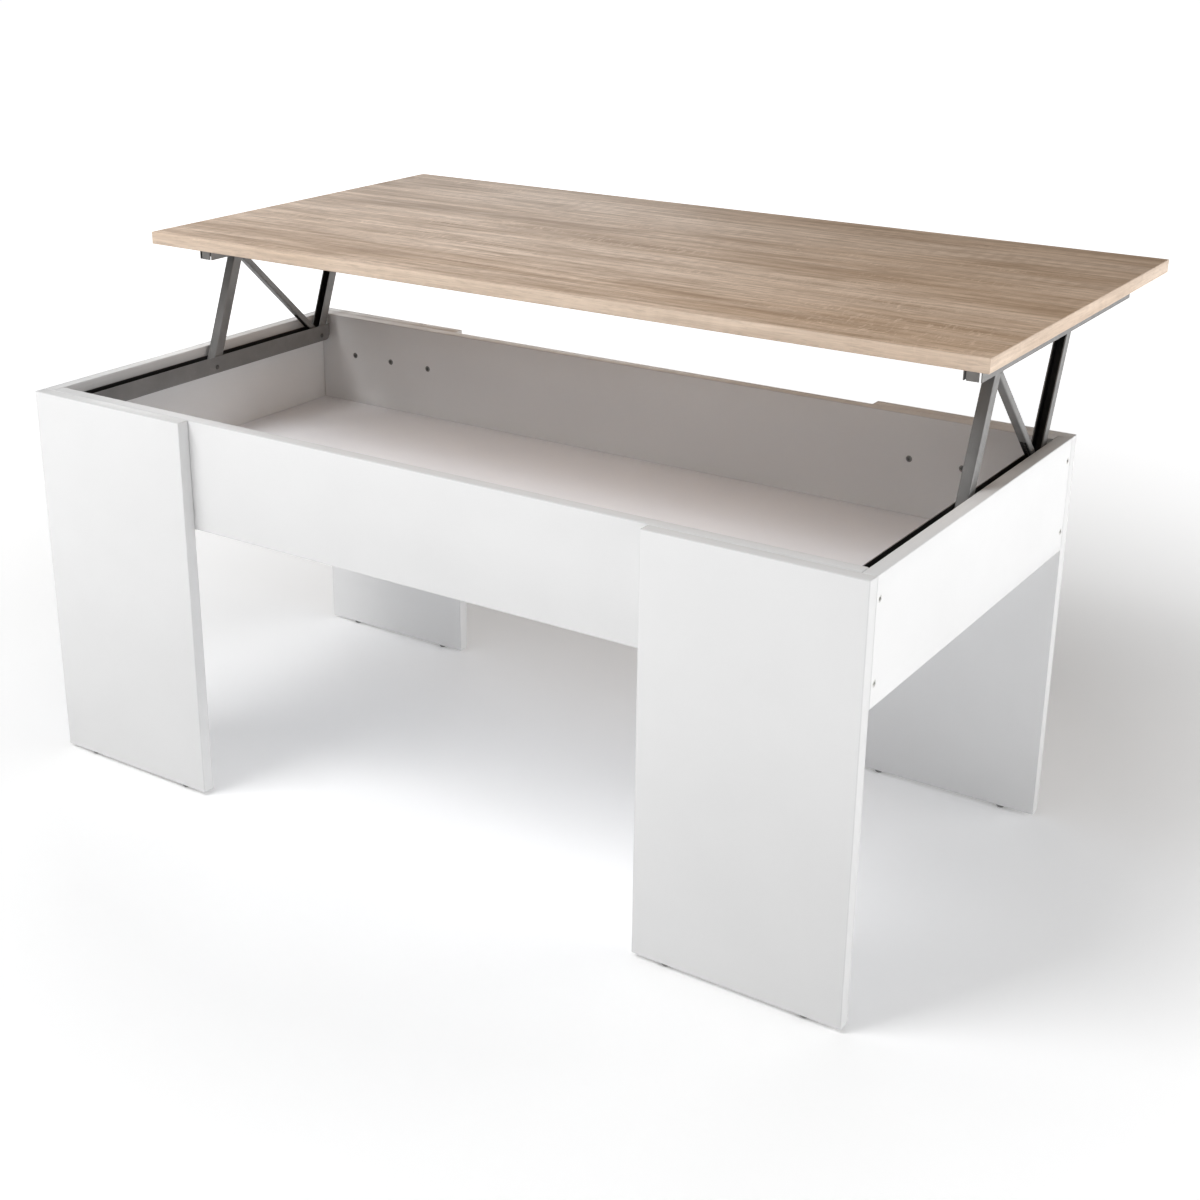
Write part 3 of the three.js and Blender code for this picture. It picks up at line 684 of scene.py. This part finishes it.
def channel_section(half_width, web, edge, sheet):
    """A bent channel's outline across its length: its web at one depth, its edges at another."""
    way = 1 if edge > web else -1
    outer = BEND + sheet

    def corner(side, radius, angles):
        x = side * (half_width - outer)
        depths = [web + way * (outer - radius * math.sin(a)) for a in angles]
        return [(x + side * radius * math.cos(a), depth) for a, depth in zip(angles, depths)]

    quarter = [math.radians(90 * i / 5) for i in range(6)]
    points = [(half_width, edge)]
    points += corner(1, outer, quarter)
    points += corner(-1, outer, list(reversed(quarter)))
    points += [(-half_width, edge), (-half_width + sheet, edge)]
    points += corner(-1, BEND, quarter)
    points += corner(1, BEND, list(reversed(quarter)))
    points += [(half_width - sheet, edge)]
    return points


def paint_shade_inside(bm, takes_painted_shade):
    """Faces inside a channel's own walls take its second material, near-black painted shade that stands in
    for the shade inside the channel.
    """
    turn_outwards(bm)
    for face in bm.faces:
        face.material_index = 1 if takes_painted_shade(face.calc_center_median()) else 0
    return bm


def centre(node):
    """The middle of a CAD node's box."""
    lo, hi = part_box(node)
    return (lo + hi) / 2


CHANNEL_X = centre("upper_rail_right").x
foot_pin = {face: centre(f"{face}_foot_pin_right") for face in FACES}
head_pin = {face: centre(f"{face}_head_pin_right") for face in FACES}
box_y = centre("side_panel_right").y

# How far the top moves back and up as it opens, from an arm's reach and its turn
arm_run = head_pin["front"] - foot_pin["front"]
lifted_angle = math.atan2(arm_run.z, arm_run.y)
closed_angle = lifted_angle + math.radians(JOINTS["front_arm_left_pivot"]["range_deg"][1])
CLOSING_SHIFT = (
    arm_run.yz.length * (math.cos(lifted_angle) - math.cos(closed_angle)),
    arm_run.yz.length * (math.sin(lifted_angle) - math.sin(closed_angle)),
)


def pin_hole(y, z):
    """The cut for a pivot pin through a rail."""
    return cylinder_x(PIN_RADIUS + RUNNING_GAP, CHANNEL_X - BEYOND, CHANNEL_X + BEYOND, y, z, 24)


def lower_rail():
    """The channel in the box, open at the top, its rear lower corner round."""
    lo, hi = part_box("lower_rail_right")
    half = CHANNEL_X - lo.x
    section = channel_section(half, lo.z, hi.z, RAIL_SHEET)
    rail = prism_mesh([(CHANNEL_X + x, z) for x, z in section], 1, lo.y, hi.y)
    corner = LOWER_RAIL_CORNER
    side = [(lo.y, lo.z), *arc(hi.y - corner, lo.z + corner, corner, -90, 0), (hi.y, hi.z), (lo.y, hi.z)]
    rail = combined(rail, [prism_mesh(side, 0, lo.x - BEYOND / 2, hi.x + BEYOND / 2)], "INTERSECT")
    rail = combined(rail, [pin_hole(p.y, p.z) for p in foot_pin.values()])
    inside, floor = half - INNER_SHARE * RAIL_SHEET, lo.z + FLOOR_INNER_SHARE * RAIL_SHEET
    rail = paint_shade_inside(rail, lambda c: abs(c.x - CHANNEL_X) < inside and c.z > floor)
    root = CHANNEL_X + half - RAIL_SHEET / 2
    height = lo.z + DIMPLE_ABOVE_FOOT
    dimples = [cylinder_x(DIMPLE_RADIUS, root, hi.x, box_y + y, height) for y in DIMPLE_Y]
    return combined(rail, dimples, "UNION", materials=2)


def upper_rail():
    """The channel under the top, open at the foot, with a bent-down nose at the front."""
    lo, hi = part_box("upper_rail_right")
    half = (hi.x - lo.x) / 2
    section = channel_section(half, hi.z, lo.z, RAIL_SHEET)
    rail = prism_mesh([(CHANNEL_X + x, z) for x, z in section], 1, lo.y, hi.y)
    wide, tab = half - RAIL_SHEET / 2, UPPER_RAIL_TAB_WIDTH / 2
    shoulder, top = hi.z - UPPER_RAIL_NOSE_HEIGHT, hi.z - RAIL_SHEET / 2
    outline = [(-tab, lo.z), (tab, lo.z), (tab, shoulder), (wide, shoulder), (wide, top)]
    outline += [(-wide, top), (-wide, shoulder), (-tab, shoulder)]
    nose = prism_mesh([(CHANNEL_X + x, z) for x, z in outline], 1, lo.y, lo.y + RAIL_SHEET)
    rail = combined(rail, [nose], "UNION")
    tools = [pin_hole(p.y, p.z) for p in head_pin.values()]
    # The inner wall is notched to clear the heads of the lower pins when the top is closed.
    for pin in foot_pin.values():
        y, z = pin.y + CLOSING_SHIFT[0], pin.z + CLOSING_SHIFT[1]
        radius = PIN_HEAD_RADIUS + PIN_HEAD_CLEARANCE
        tools.append(cylinder_x(radius, lo.x - RAIL_SHEET, lo.x + 1.1 * RAIL_SHEET, y, z))
    rail = combined(rail, tools)
    inside, web = half - INNER_SHARE * RAIL_SHEET, WEB_INNER_SHARE * RAIL_SHEET

    def takes_painted_shade(c):
        return abs(c.x - CHANNEL_X) < inside and c.z < hi.z - web and c.y > lo.y + web

    return paint_shade_inside(rail, takes_painted_shade)


# The channels' grey paint, then the near-black painted shade for their inner faces.
CHANNEL_PAINT_AND_SHADE = [GREY_PAINT, PAINTED_SHADE_BLACK]
at_ends("lower_rail", lower_rail(), "base", "grey_channel", CHANNEL_PAINT_AND_SHADE, "lower_rail_{end}")
at_ends("upper_rail", upper_rail(), "tabletop", "grey_channel", CHANNEL_PAINT_AND_SHADE, "upper_rail_{end}")

# ---- Arms ----------------------------------------------------------------------------------


def along(foot, head):
    """A frame at a foot with Z running to a head, and X across the table."""
    run = head - foot
    turn = math.atan2(-run.y, run.z)
    return Matrix.Translation((CHANNEL_X, foot.y, foot.z)) @ Matrix.Rotation(turn, 4, "X"), run.yz.length


def cross_hole(z, radius=PIN_RADIUS + RUNNING_GAP):
    """The cut for a pivot pin through an arm or a stay that stands at the origin."""
    return cylinder_x(radius, -BEYOND, BEYOND, 0, z, 24)


def arm(face, stay_pin):
    """An arm upright at the origin, with its web at the front or the rear."""
    web_side = FACES[face]
    matrix, reach = along(foot_pin[face], head_pin[face])
    half, depth = ARM_WIDTH / 2, ARM_DEPTH / 2
    section = channel_section(half, web_side * depth, -web_side * depth, ARM_SHEET)
    bar = prism_mesh(section, 2, -2 * depth, reach + 2 * depth)
    outline = arc(0, 0, depth, 180, 360, 16) + arc(0, reach, depth, 0, 180, 16)
    bar = combined(bar, [prism_mesh(outline, 0, -BEYOND, BEYOND)], "INTERSECT")
    inner = half - ARM_SHEET
    edges = sorted((0, web_side * 2 * depth))
    cut_foot, cut_top = reach - ARM_WEB_TOP_CUT, reach + 2 * depth
    head_cut = box_mesh((-inner, edges[0], cut_foot), (inner, edges[1], cut_top))
    tools = [head_cut, cross_hole(0), cross_hole(reach)]
    if stay_pin:
        tools.append(cross_hole(stay_pin))
    bar = combined(bar, tools)
    inside, web = half - INNER_SHARE * ARM_SHEET, depth - WEB_INNER_SHARE * ARM_SHEET
    bar = paint_shade_inside(bar, lambda c: abs(c.x) < inside and web_side * c.y < web)
    return placed(bar, matrix)


stay_pin_reach = (centre("stay_pin_right") - foot_pin["front"]).yz.length
for face in FACES:
    shape = arm(face, stay_pin_reach if face == "front" else None)
    node = face + "_arm_{end}"
    at_ends(f"{face}_arm", shape, node, "grey_channel", CHANNEL_PAINT_AND_SHADE, node)

# ---- Stays ---------------------------------------------------------------------------------

stay_matrix, stay_length = along(foot_pin["rear"], centre("stay_pin_right"))


def stay_channel():
    """The stay's channel, forked round the rear arm's foot, with an end plate for the rod."""
    half, depth = STAY_WIDTH / 2, STAY_DEPTH / 2
    section = channel_section(half, -depth, depth, STAY_SHEET)
    bar = prism_mesh(section, 2, -2 * depth, STAY_CHANNEL_LENGTH)
    end_plate = box_mesh(
        (-half + CHAMFER, -depth + CHAMFER, STAY_CHANNEL_LENGTH - STAY_SHEET),
        (half - CHAMFER, depth, STAY_CHANNEL_LENGTH),
    )
    bar = combined(bar, [end_plate], "UNION")
    outline = arc(0, 0, depth, 180, 360, 12)
    outline += [(depth, STAY_CHANNEL_LENGTH), (-depth, STAY_CHANNEL_LENGTH)]
    bar = combined(bar, [prism_mesh(outline, 0, -BEYOND, BEYOND)], "INTERSECT")
    inner = half - STAY_SHEET
    fork = box_mesh((-inner, -2 * depth, -2 * depth), (inner, 0, STAY_WEB_FOOT_CUT))
    hole = bmesh.new()
    radius = STAY_ROD_RADIUS + RUNNING_GAP
    bmesh.ops.create_cone(
        hole, cap_ends=True, segments=24, radius1=radius, radius2=radius, depth=10 * STAY_SHEET
    )
    hole.transform(Matrix.Translation((0, 0, STAY_CHANNEL_LENGTH)))
    bar = combined(bar, [fork, hole, cross_hole(0)])
    inside, web = half - INNER_SHARE * STAY_SHEET, -depth + WEB_INNER_SHARE * STAY_SHEET
    plate = STAY_CHANNEL_LENGTH - INNER_SHARE * STAY_SHEET

    def takes_painted_shade(c):
        return abs(c.x) < inside and c.y > web and c.z < plate

    return placed(paint_shade_inside(bar, takes_painted_shade), stay_matrix)


def stay_rod():
    """The stay's rod: a collar at its foot, and a head with a hole for the stay pin."""
    head_foot = STAY_CHANNEL_LENGTH + 2 * RUNNING_GAP
    head = box_mesh(
        (-STAY_HEAD_WIDTH / 2, -STAY_HEAD_DEPTH / 2, head_foot),
        (STAY_HEAD_WIDTH / 2, STAY_HEAD_DEPTH / 2, stay_length),
    )
    bmesh.ops.bevel(
        head, geom=list(head.edges), offset=0.4 * MM, segments=2, profile=0.5, affect="EDGES"
    )
    head = combined(head, [cross_hole(stay_length, PIN_RADIUS + 2 * RUNNING_GAP)])
    collar = STAY_ROD_FOOT + STAY_COLLAR_LENGTH
    shaft = turned_mesh(
        [
            (0, STAY_ROD_FOOT),
            (STAY_COLLAR_RADIUS - CHAMFER, STAY_ROD_FOOT),
            (STAY_COLLAR_RADIUS, STAY_ROD_FOOT + CHAMFER),
            (STAY_COLLAR_RADIUS, collar),
            (STAY_ROD_RADIUS, collar),
            (STAY_ROD_RADIUS, head_foot + 1 * MM),
            (0, head_foot + 1 * MM),
        ],
        20,
    )
    return placed(combined(head, [shaft], "UNION"), stay_matrix)


def stay_spring():
    """The spring round the rod, between the collar and the end plate."""
    foot = STAY_ROD_FOOT + STAY_COLLAR_LENGTH + FIT + SPRING_WIRE
    top = STAY_CHANNEL_LENGTH - STAY_SHEET - FIT - SPRING_WIRE
    steps = SPRING_COILS * SPRING_STEPS_PER_COIL
    points = []
    for i in range(steps + 1):
        share = i / steps
        angle = 2 * math.pi * SPRING_COILS * share
        height = foot + (top - foot) * share
        x, y = SPRING_RADIUS * math.cos(angle), SPRING_RADIUS * math.sin(angle)
        points.append(Vector((x, y, height)))
    return placed(swept_mesh(points, SPRING_WIRE, 6), stay_matrix)


at_ends("stay_channel", stay_channel(), "stay_{end}", "grey_channel", CHANNEL_PAINT_AND_SHADE, "stay_channel_{end}")
at_ends("stay_rod", stay_rod(), "stay_rod_{end}", "dark_steel", [DARK_STEEL], "stay_rod_{end}")
springs = at_ends(
    "stay_spring", stay_spring(), "stay_{end}", "dark_steel", [SPRING_STEEL], "stay_spring_{end}", 80
)
# Each spring gets a mesh of its own. As the top closes, each rod's collar presses its spring against the
# channel's end plate; nothing here squeezes the mesh.
for end, side in ENDS.items():
    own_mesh(springs[end])

# ---- Pins ----------------------------------------------------------------------------------


def rivet(node):
    """A pivot pin along X with a domed head towards the middle of the table."""
    lo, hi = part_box(node)
    middle = (lo + hi) / 2
    length = hi.x - lo.x - PIN_HEAD_LENGTH
    profile = [(0, -PIN_HEAD_LENGTH), (1.2 * MM, -PIN_HEAD_LENGTH), (2.1 * MM, -0.8 * MM)]
    profile += [(PIN_HEAD_RADIUS - 0.1 * MM, -CHAMFER), (PIN_HEAD_RADIUS, 0), (PIN_RADIUS, 0)]
    profile += [(PIN_RADIUS, length - CHAMFER), (PIN_RADIUS - CHAMFER, length), (0, length)]
    turn = Matrix.Rotation(math.pi / 2, 4, "Y")
    place = Matrix.Translation((lo.x + PIN_HEAD_LENGTH, middle.y, middle.z))
    return placed(turned_mesh(profile, 28), place @ turn)


for face in FACES:
    for place, body in (("foot", "base"), ("head", "tabletop")):
        name = f"{face}_{place}_pin"
        at_ends(name, rivet(f"{name}_right"), body, "dark_steel", [DARK_STEEL], name + "_{end}")
lo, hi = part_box("stay_pin_right")
middle = (lo + hi) / 2
stay_pin = cylinder_x(PIN_RADIUS, lo.x, hi.x, middle.y, middle.z)
at_ends("stay_pin", stay_pin, "front_arm_{end}", "dark_steel", [DARK_STEEL], "stay_pin_{end}")

# ---- Camera, light and floor ---------------------------------------------------------------

CAMERA_FROM_BOX = Vector((1.0366, -1.4914, 0.9592))  # from the floor under the box's middle
CAMERA_YAW = math.radians(34.50)
CAMERA_PITCH = math.radians(-20.44)
CAMERA_SHIFT = (0.0463, -0.0486)
FOCAL_LENGTH = 54.65
SENSOR_WIDTH = 36

camera_data = bpy.data.cameras.new("camera")
camera_data.sensor_width = SENSOR_WIDTH
camera_data.lens = FOCAL_LENGTH
camera_data.shift_x, camera_data.shift_y = CAMERA_SHIFT
camera_data.clip_end = 100
camera = bpy.data.objects.new("camera", camera_data)
bpy.context.scene.collection.objects.link(camera)
camera.location = CAMERA_FROM_BOX + Vector((0, box_y, 0))
camera.rotation_euler = (math.pi / 2 + CAMERA_PITCH, 0, CAMERA_YAW)
bpy.context.scene.camera = camera


def area_light(name, place, aim, size, power):
    """A softbox at a place, turned to what it looks at."""
    data = bpy.data.lights.new(name, "AREA")
    data.shape = "RECTANGLE"
    data.size, data.size_y = size
    data.energy = power
    light = bpy.data.objects.new(name, data)
    light.location = place
    light.rotation_euler = (Vector(aim) - Vector(place)).to_track_quat("-Z", "Y").to_euler()
    bpy.context.scene.collection.objects.link(light)


# Each softbox: its place, what it looks at, its width and height, and its power
SOFTBOXES = {
    "right": ((2.2, 0.9, 0.78), (0.49, 0, 0.4), (1.5, 1.3), 12.5),
    "right_low": ((2.3, -0.25, 0.62), (0.2, 0, 0.4), (0.8, 0.7), 10),
    "rear_left": ((-3.2, 3.6, 1.9), (0, 0.1, 0.5), (2.6, 2.2), 30),
    "front_high": ((-1.0, -1.75, 2.6), (-0.1, 0, 0.3), (1.4, 1.4), 51),
    "above": ((0.3, -1.1, 3.0), (0, -0.2, 0.3), (1.6, 1.2), 14),
    "key_left": ((-1.8, -2.2, 1.9), (-0.2, 0, 0.35), (1.2, 1.2), 3),
}
WORLD_STRENGTH = 0.12
FLOOR_GLOW = 0.14  # up to the first distance from the origin
FAR_FLOOR_GLOW = 0.9  # from the second one on
FLOOR_GLOW_DISTANCES = (0.6, 2.2)
FLOOR_SIZE = 25
for name, (place, aim, size, power) in SOFTBOXES.items():
    area_light(name, place, aim, size, power)

# A faint even light from all round, with white where the background itself is seen
world = bpy.data.worlds.new("studio")
world.use_nodes = True
background = world.node_tree.nodes["Background"]
background.inputs["Color"].default_value = (1, 1, 1, 1)
light_path = world.node_tree.nodes.new("ShaderNodeLightPath")
strength = world.node_tree.nodes.new("ShaderNodeMapRange")
strength.inputs["To Min"].default_value = WORLD_STRENGTH
world.node_tree.links.new(light_path.outputs["Is Camera Ray"], strength.inputs["Value"])
world.node_tree.links.new(strength.outputs["Result"], background.inputs["Strength"])
bpy.context.scene.world = world
bpy.context.scene.view_settings.view_transform = "Standard"

stage_nodes = Nodes("studio_floor")
stage_nodes.finish(Base_Color=(0.9, 0.9, 0.9, 1), Roughness=0.9)
stage_nodes.shader.inputs["Emission Color"].default_value = (1, 1, 1, 1)
distance = stage_nodes.add("ShaderNodeVectorMath", operation="LENGTH")
stage_nodes.link(stage_nodes.coords(), distance.inputs[0])
glow = stage_nodes.fade(
    distance.outputs["Value"], *FLOOR_GLOW_DISTANCES, FLOOR_GLOW, FAR_FLOOR_GLOW
)
stage_nodes.link(glow, stage_nodes.shader.inputs["Emission Strength"])
stage_mesh = bmesh.new()
bmesh.ops.create_grid(stage_mesh, x_segments=1, y_segments=1, size=FLOOR_SIZE)
floor = make_object("studio_floor", stage_mesh, [stage_nodes.material])

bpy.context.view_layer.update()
